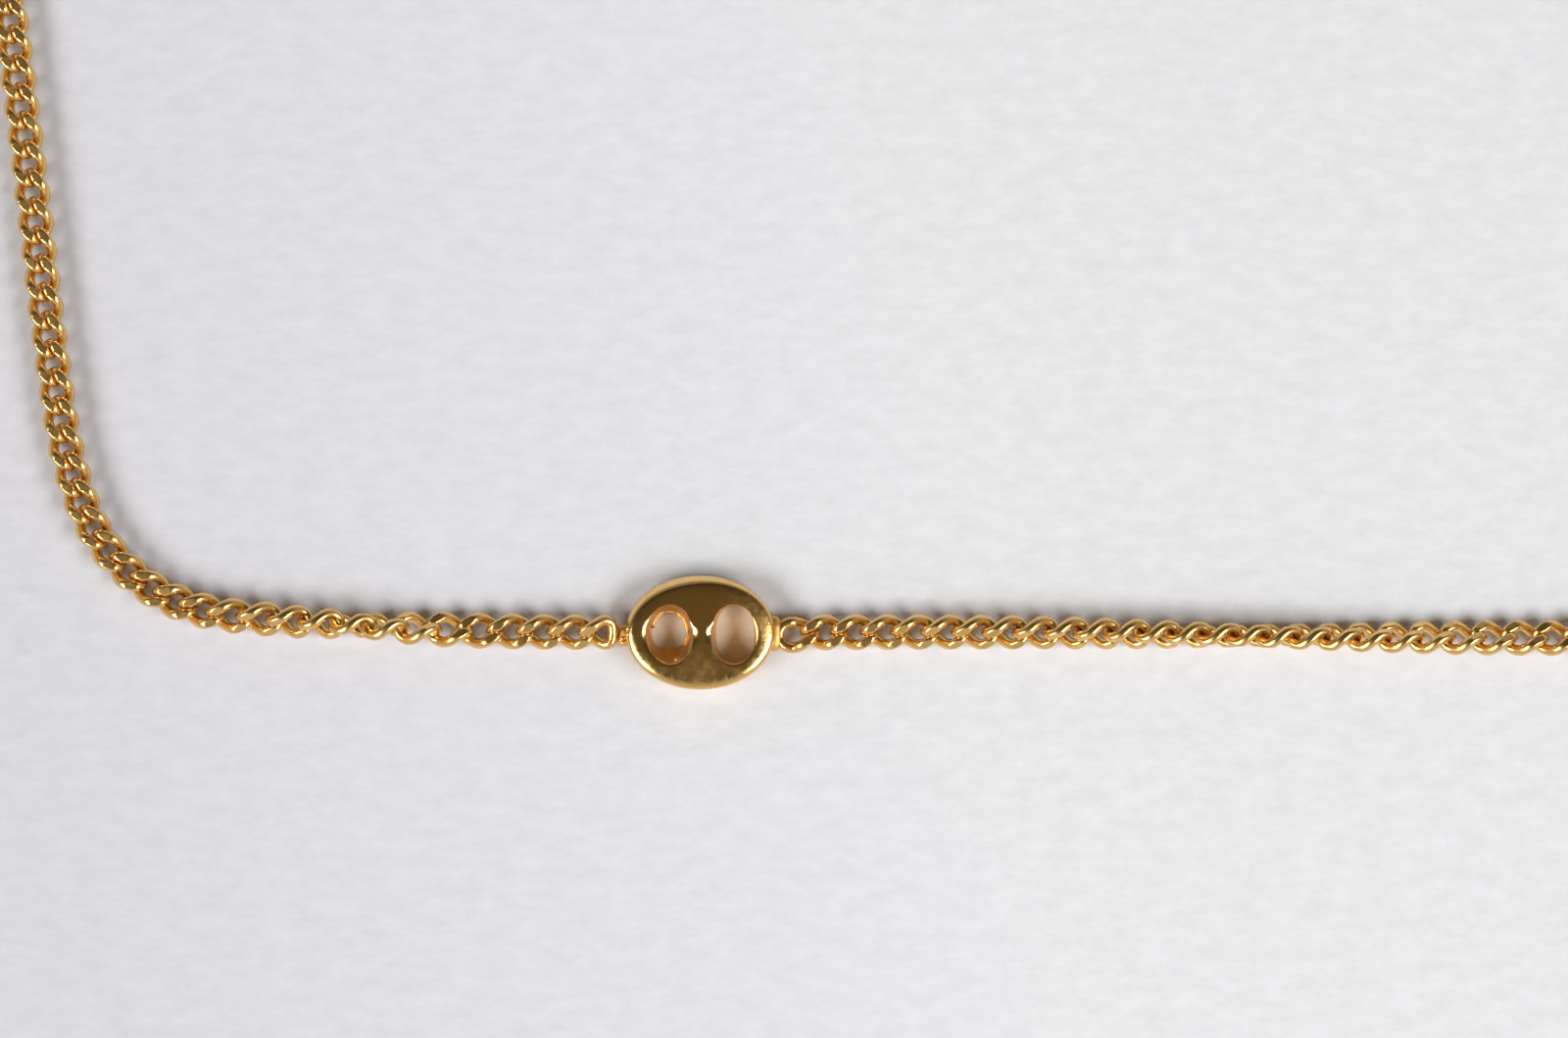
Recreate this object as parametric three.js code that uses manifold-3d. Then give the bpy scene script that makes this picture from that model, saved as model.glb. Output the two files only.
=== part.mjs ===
// A fine gold necklace that lies on a table as one open loop: a curb chain runs from both ends of a
// puffed oval link with two holes, and its far ends meet at a clasp.
// Millimetres, +Z up. The origin is on the table, under the bridge of the puffed link.
import * as THREE from "three";
import { mergeVertices } from "three/addons/utils/BufferGeometryUtils.js";
import Module from "manifold-3d";

const wasm = await Module();
wasm.setup();

// Necklace
const NECKLACE_LENGTH = 450; // right round the loop, along the middle of the chain
const GAP = 0.3; // between pieces that meet

// Curb chain
const WIRE = 0.42; // diameter of a link's wire
const LINK_WIDTH = 1.78; // across the flat of the chain
const LINK_TWIST = 47; // degrees that each end of a link is turned out of the flat
const LINK_BITE = 0.3; // how far a link's end reaches past the end of the next one
const LINK_SIDES = 12;
const WIRE_SIDES = 5;

// Where the chain goes on the table. Each row is a stretch of it, counted out from the puffed link:
// its links, their spacing, how far it bends to the left, and its roll about its own line at the end.
const LEFT_START = { x: -4.28, y: 0, heading: 180, roll: -32, back: 0.6 };
const LEFT_ROUTE = [
  { links: 2, pitch: 1.535, bend: -0.5, roll: -24 },
  { links: 2, pitch: 1.535, bend: -0.5, roll: -8 },
  { links: 2, pitch: 1.575, bend: -1, roll: 38 },
  { links: 2, pitch: 1.615, bend: -1, roll: 88 },
  { links: 2, pitch: 1.615, bend: -1, roll: 123 },
  { links: 3, pitch: 1.525, bend: -1, roll: 152 },
  { links: 2, pitch: 1.44, bend: -13.5, roll: 156 },
  { links: 5, pitch: 1.44, bend: -52, roll: 168 },
  { links: 3, pitch: 1.435, bend: -10, roll: 172 },
  { links: 5, pitch: 1.45, bend: -3, roll: 176 },
  { links: 10, pitch: 1.472, bend: 1, roll: 180 },
];
const RIGHT_START = { x: 5.67, y: 0.03, heading: 0.4, roll: 3, back: 1.12 };
const RIGHT_ROUTE = [
  { links: 5, pitch: 1.56, bend: -0.4, roll: 34 },
  { links: 5, pitch: 1.56, bend: -1, roll: 62 },
  { links: 5, pitch: 1.558, bend: 0, roll: 92 },
  { links: 4, pitch: 1.55, bend: 0, roll: 116 },
  { links: 7, pitch: 1.535, bend: 1, roll: 158 },
];

// The rest of the loop is a rectangle with round corners. Its right side is set by the necklace's length.
const LOOP_TOP = 90;
const LOOP_CORNER = 20;
const TUBE_STEP = 4.5;

// Puffed link
const STATION_LENGTH = 7.46;
const STATION_WIDTH = 5.8;
const RIM_HEIGHT = 1.5; // above the table, before the rim is rounded
const SWELLS = [{ height: 0.2, power: 2 }, { height: 0.16, power: 10 }]; // a low dome, steeper near the rim
const RIM_ROUND = { least: 0.2, more: 0.42, towards: 115, power: 1.5 }; // rounder at the upper left
const BACK_CHAMFER = 0.3;
const BRIDGE_X = 0.1; // the bridge between the holes stands a little right of the middle
const HOLE_OFFSET = 1.62; // from the bridge to the middle of each hole
const HOLE_Y = -0.07;
const HOLE_FRONT = { length: 2.2, width: 2.94 };
const HOLE_BACK = {
  left: { x: -0.06, y: 0.12, length: 1.78, width: 1.78 },
  right: { x: 0.07, y: 0, length: 1.96, width: 2.84 },
};
const LIP_ENDS = 0.05; // the edge of a hole is crisp above and below
const BRIDGE_LIP = { round: 1, fade: 15, cut: 0.375 }; // well rounded at the bridge
const FAR_LIP = { round: 1.2, fade: 5, cut: 0.36 }; // and at the far side
const RIM_STEPS = 24; // along each half of the outline
const BRIDGE_STEPS = 12;
const SWELL_STEPS = [0, 0.06, 0.16, 0.32, 0.5, 0.68, 0.84, 0.94, 1]; // from a hole to the outline

// What is soldered to its ends: a link at the right, and a small bail of thinner wire at the left
const RING = { x: 4.75, y: -0.12, heading: 8, back: 0.7, ahead: 1.14 };
const BAIL = { wire: 0.2, tip: -4.72, root: -3.4, y: -0.15, halfWidth: 0.26, height: 0.12 };
const WEBS = [
  { x: 3.85, y: -0.02, z: 0.45, length: 1.15, width: 1.75, height: 0.75 },
  { x: -3.8, y: -0.15, z: 0.4, length: 0.85, width: 1.1, height: 0.65 },
];

// Clasp
const BARREL = { length: 6, radius: 1, neck: 0.65, taper: 0.5 };
const CLASP_LOOP = { radius: 0.6, wire: 0.4, sunk: 0.1 };

const gold = new THREE.MeshStandardMaterial({ color: 0xd8a548, metalness: 1, roughness: 0.22 });
const radians = THREE.MathUtils.degToRad;

// Closed geometry to a solid, solids to one solid, and a solid to a mesh
function toSolid(geometry) {
  geometry.deleteAttribute("normal");
  geometry.deleteAttribute("uv");
  const merged = mergeVertices(geometry, 1e-4);
  return new wasm.Manifold(
    new wasm.Mesh({
      numProp: 3,
      vertProperties: Float32Array.from(merged.attributes.position.array),
      triVerts: Uint32Array.from(merged.index.array),
    }),
  );
}

function fuse(geometries) {
  return geometries.map(toSolid).reduce((whole, piece) => whole.add(piece));
}

function namedMesh(name, solid) {
  const { vertProperties, triVerts } = solid.getMesh();
  const geometry = new THREE.BufferGeometry();
  geometry.setAttribute("position", new THREE.BufferAttribute(vertProperties, 3));
  geometry.setIndex(new THREE.BufferAttribute(triVerts, 1));
  geometry.computeVertexNormals();
  const mesh = new THREE.Mesh(geometry, gold);
  mesh.name = name;
  return mesh;
}

// Centre line of one curb link, with +X along the chain: an oval whose two ends turn opposite ways
class CurbLink extends THREE.Curve {
  constructor(back, ahead, backTwist = LINK_TWIST, aheadTwist = LINK_TWIST) {
    super();
    Object.assign(this, { back, ahead, backTwist, aheadTwist });
  }

  getPoint(t) {
    const along = Math.cos(2 * Math.PI * t);
    const across = ((LINK_WIDTH - WIRE) / 2) * Math.sin(2 * Math.PI * t);
    const reach = along > 0 ? this.ahead : this.back;
    const endTwist = along > 0 ? this.aheadTwist : this.backTwist;
    const twist = radians(-endTwist * Math.sin((Math.PI / 2) * along));
    return new THREE.Vector3(along * reach, across * Math.cos(twist), across * Math.sin(twist));
  }
}

function linkGeometry(link) {
  return new THREE.TubeGeometry(link, LINK_SIDES, WIRE / 2, WIRE_SIDES, true);
}

// Height of a link's middle when it is rolled about its own line and its lowest wire touches the table
function restingHeight(roll) {
  const points = new CurbLink(1, 1).getPoints(48);
  const depths = points.map((p) => -(p.y * Math.sin(radians(roll)) + p.z * Math.cos(radians(roll))));
  return Math.max(...depths) + WIRE / 2;
}

// Links laid end to end along a route; end and heading say where the route stops
function layLinks(start, route) {
  const end = new THREE.Vector2(start.x, start.y);
  const links = [];
  let { heading, roll, back } = start;
  for (const stretch of route) {
    const rollStep = (stretch.roll - roll) / stretch.links;
    const reach = (stretch.pitch + LINK_BITE) / 2;
    for (let i = 0; i < stretch.links; i += 1) {
      heading += stretch.bend / stretch.links;
      const step = new THREE.Vector2(stretch.pitch, 0).rotateAround(new THREE.Vector2(), radians(heading));
      const middle = end.clone().addScaledVector(step, 0.5);
      const turn = roll + rollStep / 2;
      const geometry = linkGeometry(new CurbLink(back ?? reach, reach));
      geometry.rotateX(radians(turn));
      geometry.rotateZ(radians(heading));
      geometry.translate(middle.x, middle.y, restingHeight(turn));
      links.push(geometry);
      end.add(step);
      roll += rollStep;
      back = undefined;
    }
  }
  return { links, end, heading };
}

// Rest of the loop: out along the left chain, over the top, down the right side and back to the right chain
function pointAhead(chain, distance) {
  const angle = radians(chain.heading);
  return new THREE.Vector2(Math.cos(angle), Math.sin(angle)).multiplyScalar(distance).add(chain.end);
}

function loopPath(left, right, rightSide) {
  const topLeft = pointAhead(left, (LOOP_TOP - left.end.y) / Math.sin(radians(left.heading)));
  const topRight = new THREE.Vector2(rightSide, LOOP_TOP);
  const lowRight = pointAhead(right, (rightSide - right.end.x) / Math.cos(radians(right.heading)));
  const corners = [left.end, topLeft, topRight, lowRight, right.end];
  const path = new THREE.Path();
  path.moveTo(left.end.x, left.end.y);
  for (let i = 1; i < corners.length - 1; i += 1) {
    const before = corners[i].clone().sub(corners[i - 1]).normalize();
    const after = corners[i + 1].clone().sub(corners[i]).normalize();
    const cut = LOOP_CORNER * Math.tan(Math.acos(before.dot(after)) / 2);
    const start = corners[i].clone().addScaledVector(before, -cut);
    const middle = start.clone().add(new THREE.Vector2(before.y, -before.x).multiplyScalar(LOOP_CORNER));
    const from = Math.atan2(before.x, -before.y);
    const to = Math.atan2(after.x, -after.y);
    path.lineTo(start.x, start.y);
    path.absarc(middle.x, middle.y, LOOP_CORNER, from, to, true);
  }
  path.lineTo(right.end.x, right.end.y);
  return path;
}

// Both long sides grow with the right side, so its place follows from one trial loop
function closeLoop(left, right, shownLength) {
  const trialSide = 100;
  const missing = NECKLACE_LENGTH - shownLength - loopPath(left, right, trialSide).getLength();
  return loopPath(left, right, trialSide + missing / 2);
}

// A stretch of the loop as a plain tube with the chain's width and thickness
class LoopStretch extends THREE.Curve {
  constructor(path, from, to) {
    super();
    Object.assign(this, { path, from, to });
  }

  getPoint(t) {
    const distance = THREE.MathUtils.lerp(this.from, this.to, t);
    const { x, y } = this.path.getPoint(distance / this.path.getLength());
    return new THREE.Vector3(x, y, restingHeight(0));
  }
}

function tube(stretch) {
  const sides = 8;
  const corner = 1 / Math.cos(Math.PI / sides);
  const section = new THREE.Shape();
  for (let i = 0; i < sides; i += 1) {
    const angle = (2 * Math.PI * (i + 0.5)) / sides;
    const point = [restingHeight(0) * corner * Math.cos(angle), (LINK_WIDTH / 2) * corner * Math.sin(angle)];
    if (i === 0) section.moveTo(...point);
    else section.lineTo(...point);
  }
  section.closePath();
  const steps = Math.round((stretch.to - stretch.from) / TUBE_STEP);
  return toSolid(new THREE.ExtrudeGeometry(section, { steps, extrudePath: stretch }));
}

// Puffed link. How far a point is inside the ellipse of a given length and width, negative outside it
function insideEllipse(x, y, length, width) {
  const level = 1 - (2 * x / length) ** 2 - (2 * y / width) ** 2;
  return level / (8 * Math.hypot(x / length ** 2, y / width ** 2));
}

function edgeDrop(distance, radius) {
  const short = Math.max(radius - distance, 0);
  return radius - Math.sqrt(Math.max(radius ** 2 - short ** 2, 0));
}

function rimRound(x, y) {
  const direction = Math.atan2(y, x) - radians(RIM_ROUND.towards);
  return RIM_ROUND.least + RIM_ROUND.more * Math.max(Math.cos(direction), 0) ** RIM_ROUND.power;
}

// Drop at the edge of a hole, for a point counted from the hole's middle
function lipDrop(x, y, side) {
  const lip = x * side < 0 ? BRIDGE_LIP : FAR_LIP;
  const level = (x / HOLE_FRONT.length) ** 2 + (y / HOLE_FRONT.width) ** 2;
  const sideways = ((x / HOLE_FRONT.length) ** 2 / level) ** lip.fade;
  const distance = lip.cut * sideways - insideEllipse(x, y, HOLE_FRONT.length, HOLE_FRONT.width);
  return edgeDrop(distance, THREE.MathUtils.lerp(LIP_ENDS, lip.round, sideways));
}

function stationTop(x, y) {
  const out = Math.hypot((2 * x) / STATION_LENGTH, (2 * y) / STATION_WIDTH);
  const swell = SWELLS.reduce((sum, row) => sum + row.height * (1 - out ** row.power), 0);
  const rimDrop = edgeDrop(insideEllipse(x, y, STATION_LENGTH, STATION_WIDTH), rimRound(x, y));
  const lipDrops = [-1, 1].map((side) => lipDrop(x - BRIDGE_X - side * HOLE_OFFSET, y - HOLE_Y, side));
  return RIM_HEIGHT + swell - rimDrop - lipDrops[0] - lipDrops[1];
}

// Edge of one half of the puffed link, anticlockwise: its part of the outline, then the line of the bridge
function halfEdge(side) {
  const corner = Math.acos((2 * BRIDGE_X) / STATION_LENGTH);
  const from = side > 0 ? -corner : corner;
  const to = side > 0 ? corner : 2 * Math.PI - corner;
  const edge = [];
  for (let i = 0; i <= RIM_STEPS; i += 1) {
    const angle = THREE.MathUtils.lerp(from, to, i / RIM_STEPS);
    const x = (STATION_LENGTH / 2) * Math.cos(angle);
    edge.push({ x, y: (STATION_WIDTH / 2) * Math.sin(angle), onRim: i < RIM_STEPS });
  }
  const bridgeEnd = (STATION_WIDTH / 2) * Math.sin(corner) * side;
  for (let i = 1; i < BRIDGE_STEPS; i += 1) {
    edge.push({ x: BRIDGE_X, y: bridgeEnd * Math.cos((Math.PI * i) / BRIDGE_STEPS), onRim: false });
  }
  return edge;
}

// Where the line from the middle of an ellipse to a point crosses the ellipse
function onEllipse(point, { x, y, length, width }) {
  const reach = 1 / Math.hypot((2 * (point.x - x)) / length, (2 * (point.y - y)) / width);
  return { x: x + reach * (point.x - x), y: y + reach * (point.y - y) };
}

// One section of the shell, from the back of the hole over the swell to the back of the rim
function shellSection(edge, side) {
  const holeX = BRIDGE_X + side * HOLE_OFFSET;
  const back = side > 0 ? HOLE_BACK.right : HOLE_BACK.left;
  const mouth = onEllipse(edge, { x: holeX, y: HOLE_Y, ...HOLE_FRONT });
  const inner = onEllipse(mouth, { ...back, x: holeX + back.x, y: HOLE_Y + back.y });
  const section = [[inner.x, inner.y, 0]];
  for (const step of SWELL_STEPS) {
    const x = THREE.MathUtils.lerp(mouth.x, edge.x, step);
    const y = THREE.MathUtils.lerp(mouth.y, edge.y, step);
    section.push([x, y, stationTop(x, y)]);
  }
  const inset = [1 - (2 * BACK_CHAMFER) / STATION_LENGTH, 1 - (2 * BACK_CHAMFER) / STATION_WIDTH];
  section.push([edge.x, edge.y, BACK_CHAMFER]);
  section.push([BRIDGE_X + (edge.x - BRIDGE_X) * inset[0], edge.y * inset[1], 0]);
  return section;
}

function puffedLink() {
  const positions = [];
  const faces = [];
  for (const side of [-1, 1]) {
    const edge = halfEdge(side);
    const sections = edge.map((place) => shellSection(place, side));
    const size = sections[0].length;
    const first = positions.length / 3;
    positions.push(...sections.flat(2));
    for (let i = 0; i < edge.length; i += 1) {
      const here = first + i * size;
      const next = first + ((i + 1) % edge.length) * size;
      for (let j = 0; j < size; j += 1) {
        const isWall = j === size - 3 || j === size - 2;
        if (isWall && !edge[i].onRim) continue;
        const k = (j + 1) % size;
        faces.push(here + j, here + k, next + k, here + j, next + k, next + j);
      }
    }
  }
  const geometry = new THREE.BufferGeometry();
  geometry.setAttribute("position", new THREE.Float32BufferAttribute(positions, 3));
  geometry.setIndex(faces);
  return geometry;
}

// The link soldered to the right end lies flat there and turns up at its free end
function solderedRing() {
  const ring = linkGeometry(new CurbLink(RING.back, RING.ahead, 0));
  return ring.rotateZ(radians(RING.heading)).translate(RING.x, RING.y, restingHeight(0));
}

function solderWeb({ x, y, z, length, width, height }) {
  const drop = new THREE.SphereGeometry(0.5, 12, 8);
  return drop.scale(length, width, height).translate(x, y, z);
}

function bail() {
  const { wire, tip, root, y, halfWidth, height } = BAIL;
  const legs = [1, -1].map((side) => new THREE.Vector3(root, y + side * halfWidth, height));
  const arc = new THREE.EllipseCurve(tip + halfWidth, y, halfWidth, halfWidth, Math.PI / 2, 1.5 * Math.PI);
  const round = arc.getPoints(8).map((p) => new THREE.Vector3(p.x, p.y, height));
  const route = new THREE.CatmullRomCurve3([legs[0], ...round, legs[1]], false, "centripetal");
  const section = new THREE.Shape().absarc(0, 0, wire / 2, 0, 2 * Math.PI);
  return new THREE.ExtrudeGeometry(section, { steps: 16, curveSegments: 3, extrudePath: route });
}

// Clasp: a plain barrel that lies on the table, with a wire loop at each end for the chain
function clasp(path, distance) {
  const half = BARREL.length / 2;
  const profile = [
    [0, -half],
    [BARREL.neck, -half],
    [BARREL.radius, BARREL.taper - half],
    [BARREL.radius, half - BARREL.taper],
    [BARREL.neck, half],
    [0, half],
  ].map(([radius, along]) => new THREE.Vector2(radius, along));
  const barrel = new THREE.LatheGeometry(profile, 16);
  barrel.rotateZ(Math.PI / 2);
  barrel.translate(0, 0, BARREL.radius);
  const loops = [-1, 1].map((side) => {
    const loop = new THREE.TorusGeometry(CLASP_LOOP.radius, CLASP_LOOP.wire / 2, 6, 12);
    return loop.translate(side * (half + CLASP_LOOP.radius - CLASP_LOOP.sunk), 0, restingHeight(0));
  });
  const mesh = namedMesh("clasp", fuse([barrel, ...loops]));
  const t = distance / path.getLength();
  const place = path.getPoint(t);
  const ahead = path.getPoint(t + 0.001).sub(place);
  mesh.position.set(place.x, place.y, 0);
  mesh.rotation.z = Math.atan2(ahead.y, ahead.x);
  return mesh;
}

// The whole necklace
const left = layLinks(LEFT_START, LEFT_ROUTE);
const right = layLinks(RIGHT_START, RIGHT_ROUTE);
const routeLength = (route) => route.reduce((sum, row) => sum + row.links * row.pitch, 0);
const leftLength = routeLength(LEFT_ROUTE) - LEFT_START.x;
const rightLength = routeLength(RIGHT_ROUTE) + RIGHT_START.x;
const loop = closeLoop(left, right, leftLength + rightLength);
const claspAt = NECKLACE_LENGTH / 2 - leftLength;
const claspReach = BARREL.length / 2 + 2 * CLASP_LOOP.radius - CLASP_LOOP.sunk + CLASP_LOOP.wire / 2;
const linkReach = (LINK_BITE + WIRE) / 2;

const necklace = new THREE.Group();
necklace.add(namedMesh("station", fuse([puffedLink(), solderedRing(), bail(), ...WEBS.map(solderWeb)])));
necklace.add(namedMesh("chain_left_front", fuse(left.links)));
necklace.add(namedMesh("chain_right_front", fuse(right.links)));
const leftBack = new LoopStretch(loop, linkReach + GAP, claspAt - claspReach - GAP);
const rightBack = new LoopStretch(loop, claspAt + claspReach + GAP, loop.getLength() - linkReach - GAP);
necklace.add(namedMesh("chain_left_back", tube(leftBack)));
necklace.add(namedMesh("chain_right_back", tube(rightBack)));
necklace.add(clasp(loop, claspAt));

export default necklace;
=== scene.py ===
# %% [markdown]
# # A gold necklace, seen from straight above
# The necklace is a fine curb chain with one puffed oval link set in it. The solid model says where every
# piece lies and how big it is. This lesson dresses it: real links in place of the plain chain, a smooth
# puffed link, and polished gold. Sizes are in millimetres until they go into a mesh, which is in metres.

import math
import random

import bmesh
import bpy
import numpy as np
from mathutils import Euler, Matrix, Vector


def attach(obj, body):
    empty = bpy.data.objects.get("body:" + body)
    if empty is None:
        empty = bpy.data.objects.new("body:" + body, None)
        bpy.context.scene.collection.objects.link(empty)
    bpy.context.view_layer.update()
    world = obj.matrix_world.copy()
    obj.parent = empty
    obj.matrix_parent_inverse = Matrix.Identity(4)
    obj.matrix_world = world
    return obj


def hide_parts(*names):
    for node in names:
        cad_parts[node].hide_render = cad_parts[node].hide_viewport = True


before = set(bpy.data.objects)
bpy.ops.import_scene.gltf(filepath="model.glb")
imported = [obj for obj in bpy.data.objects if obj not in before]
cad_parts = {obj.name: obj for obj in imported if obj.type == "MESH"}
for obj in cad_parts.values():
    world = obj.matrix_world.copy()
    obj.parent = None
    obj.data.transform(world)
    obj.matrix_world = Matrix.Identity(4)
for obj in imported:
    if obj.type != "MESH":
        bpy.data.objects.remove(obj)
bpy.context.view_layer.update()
MM = 0.001

# %% [markdown]
# ## Sums on sockets
# Materials and Geometry Nodes trees are sums of sockets. Adding each Math node by hand hides the sum, so one
# small class wraps a socket: an expression in Python then adds the nodes. Every other node comes from add().


# %% Sockets that take part in sums
class Signal:
    """An output socket of a node tree. Sums on it add Math nodes to the same tree."""

    def __init__(self, tree, socket=None):
        self.tree = tree
        self.socket = socket

    def add(self, kind, settings=None, inputs=None, out=0):
        """Add a node: its settings first, then a value or a link for each socket. Gives one output."""
        node = self.tree.nodes.new(kind)
        for name, value in (settings or {}).items():
            if name == "stops":
                stops = node.color_ramp.elements
                while len(stops) < len(value):
                    stops.new(1.0)
                for stop, (place, colour) in zip(stops, value):
                    stop.position = place
                    stop.color = colour
            else:
                setattr(node, name, value)
        for name, value in (inputs or {}).items():
            if isinstance(value, Signal):
                self.tree.links.new(value.socket, node.inputs[name])
            else:
                node.inputs[name].default_value = value
        return Signal(self.tree, node.outputs[out] if node.outputs else None)

    def also(self, name):
        """Another output of the same node."""
        return Signal(self.tree, self.socket.node.outputs[name])

    def maths(self, operation, *values):
        return self.add("ShaderNodeMath", {"operation": operation}, dict(enumerate(values)))

    def __add__(self, other):
        return self.maths("ADD", self, other)

    def __sub__(self, other):
        return self.maths("SUBTRACT", self, other)

    def __rsub__(self, other):
        return self.maths("SUBTRACT", other, self)

    def __mul__(self, other):
        return self.maths("MULTIPLY", self, other)

    __radd__ = __add__
    __rmul__ = __mul__


# %% [markdown]
# ## Polished gold
# Gold is a metal, so its colour is the colour of its reflections, and a dark room makes it dark olive brown.
# What tells it from a plain mirror is wear: the polish is cloudy in places, and the surface has faint waves.
# Noise on the object's own coordinates gives both, so the wear stays put on each piece. Metal that was torn,
# soldered or scuffed is redder, rougher and less even, and an attribute of the mesh says where. On the walls
# of the holes that redder colour is also painted reflection of warm light bounced from wall to wall.

# %% Gold materials
GOLD = (0.86, 0.56, 0.21, 1)
DEEP_GOLD = (0.78, 0.48, 0.165, 1)
# Redder gold for raw metal. On the walls of the holes it is also painted reflection of light bounced between
# them.
RAW_GOLD_AND_PAINTED_REFLECTION = (0.84, 0.49, 0.17, 1)
RAW_WAVES = 3
RAW_ROUGHNESS = 0.2
CLOUD_NOISE = {"Detail": 3.0, "Roughness": 0.6}
CLOUD_STOPS = [(0.35, (0, 0, 0, 1)), (0.7, (1, 1, 1, 1))]
WAVE_NOISE = {"Detail": 2.0, "Roughness": 0.5}
MIXED_COLOUR = 2
CHAIN_FINISH = {"roughness": 0.22, "cloudiness": 0.1, "cloud_size": 0.9, "wave": 0.004, "wave_size": 0.4}
STATION_FINISH = {"roughness": 0.12, "cloudiness": 0.1, "cloud_size": 0.4, "wave": 0.006, "wave_size": 0.3}


def gold_material(name, roughness, cloudiness, cloud_size, wave, wave_size):
    """Gold whose roughness varies by cloudiness, with waves of a given height. Sizes are in millimetres."""
    material = bpy.data.materials.new(name)
    material.use_nodes = True
    tree = material.node_tree
    tree.nodes.clear()
    place = Signal(tree).add("ShaderNodeTexCoord", out="Object")
    raw = place.add("ShaderNodeAttribute", {"attribute_name": "raw"}, out="Fac")
    cloud_inputs = {"Vector": place, "Scale": 1 / (cloud_size * MM), **CLOUD_NOISE}
    cloud = place.add("ShaderNodeTexNoise", {}, cloud_inputs)
    worn = place.add("ShaderNodeValToRGB", {"stops": CLOUD_STOPS}, {"Fac": cloud})
    mix = {"data_type": "RGBA"}
    polished = place.add("ShaderNodeMix", mix, {"Factor": worn, "A": GOLD, "B": DEEP_GOLD}, MIXED_COLOUR)
    # Raw metal turns the colour redder here, and on the hole walls this redder colour is also painted
    # reflection.
    colour = place.add("ShaderNodeMix", mix, {"Factor": raw, "A": polished, "B": RAW_GOLD_AND_PAINTED_REFLECTION}, MIXED_COLOUR)
    wave_inputs = {"Vector": place, "Scale": 1 / (wave_size * MM), **WAVE_NOISE}
    waves = place.add("ShaderNodeTexNoise", {}, wave_inputs)
    bump_inputs = {"Height": waves * (1 + RAW_WAVES * raw), "Strength": 1.0, "Distance": wave * MM}
    bump = place.add("ShaderNodeBump", {}, bump_inputs)
    shader_inputs = {
        "Base Color": colour,
        "Metallic": 1.0,
        "Roughness": roughness + cloudiness * worn + RAW_ROUGHNESS * raw,
        "Normal": bump,
    }
    shader = place.add("ShaderNodeBsdfPrincipled", {}, shader_inputs)
    place.add("ShaderNodeOutputMaterial", {}, {"Surface": shader})
    return material


chain_gold = gold_material("chain_gold", **CHAIN_FINISH)
station_gold = gold_material("station_gold", **STATION_FINISH)
print("materials:", chain_gold.name, station_gold.name)

# %% [markdown]
# ## One curb link, and the tree that lays many
# A curb link is an oval ring of wire whose two ends are turned opposite ways, so that the chain lies flat.
# Its face is filed, which leaves a small flat on each raised quarter. Geometry Nodes bend a circle into that
# ring, sweep the wire round it, file it, and put one on every point. The points carry each link's turn.

# %% Sizes of a link, and an empty tree
LINK_INPUTS = {
    "Back": ("NodeSocketFloat", 1.02),
    "Ahead": ("NodeSocketFloat", 1.02),
    "Width": ("NodeSocketFloat", 1.87),
    "Fullness": ("NodeSocketFloat", 2.2),
    "Back Twist": ("NodeSocketFloat", 52.0),
    "Ahead Twist": ("NodeSocketFloat", 52.0),
    "Wire": ("NodeSocketFloat", 0.48),
    "Side Wire": ("NodeSocketFloat", 0.56),
    "Filed": ("NodeSocketFloat", 0.555),
    "Link Steps": ("NodeSocketInt", 56),
    "Wire Steps": ("NodeSocketInt", 24),
    "Material": ("NodeSocketMaterial", None),
}


def new_tree(name, inputs):
    """An empty Geometry Nodes tree with these named inputs. Gives the tree and its input node."""
    tree = bpy.data.node_groups.new(name, "GeometryNodeTree")
    tree.interface.new_socket(name="Geometry", in_out="INPUT", socket_type="NodeSocketGeometry")
    for label, (kind, value) in inputs.items():
        socket = tree.interface.new_socket(name=label, in_out="INPUT", socket_type=kind)
        if value is not None:
            socket.default_value = value
    tree.interface.new_socket(name="Geometry", in_out="OUTPUT", socket_type="NodeSocketGeometry")
    return tree, Signal(tree).add("NodeGroupInput", out="Geometry")


print("a link has", len(LINK_INPUTS), "named inputs")

# %% [markdown]
# The middle line of a link starts as a circle. A fuller oval takes its place, as long at each end as that
# end reaches. The line then turns about the way ahead, one way at one end and the other way at the other.


# %% Middle line of a link
def fuller(part, fullness):
    """One coordinate of a circle, moved out to make a fuller oval. Two keeps the circle."""
    power = part.maths("DIVIDE", 2.0, fullness)
    return part.maths("SIGN", part) * part.maths("POWER", part.maths("ABSOLUTE", part), power)


def half_by_side(along, back, ahead):
    """Back where along is negative, ahead where it is positive."""
    forward = along.maths("GREATER_THAN", along, 0.0)
    return back + forward * (ahead - back)


def bent_ring(start, size):
    """The middle line of a link, and how far to the side each point of it lies, from -1 to 1."""
    circle = start.add("GeometryNodeCurvePrimitiveCircle", {}, {"Resolution": size["Link Steps"]})
    step = start.add("GeometryNodeSplineParameter", out="Index")
    angle = start.maths("DIVIDE", step, size["Link Steps"]) * (2 * math.pi)
    along = fuller(start.maths("COSINE", angle), size["Fullness"])
    side = fuller(start.maths("SINE", angle), size["Fullness"])
    across = side * (size["Width"] - size["Side Wire"]) * (0.5 * MM)
    reach = half_by_side(along, size["Back"], size["Ahead"])
    most_twist = half_by_side(along, size["Back Twist"], size["Ahead Twist"]) * math.radians(-1)
    twist = most_twist * start.maths("SINE", along * (math.pi / 2))
    bent = {
        "X": along * reach * MM,
        "Y": across * start.maths("COSINE", twist),
        "Z": across * start.maths("SINE", twist),
    }
    place = start.add("ShaderNodeCombineXYZ", {}, bent)
    ring = start.add("GeometryNodeSetPosition", {}, {"Geometry": circle, "Position": place})
    return ring, side


# %% [markdown]
# The wire is a little thicker along the sides of a link. A limit on its height then files both faces flat.
# Only what is still round is shaded smooth, so the flats keep crisp edges and shine like small mirrors.

# %% Wire of a link
FACING_UP = 0.9999


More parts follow.
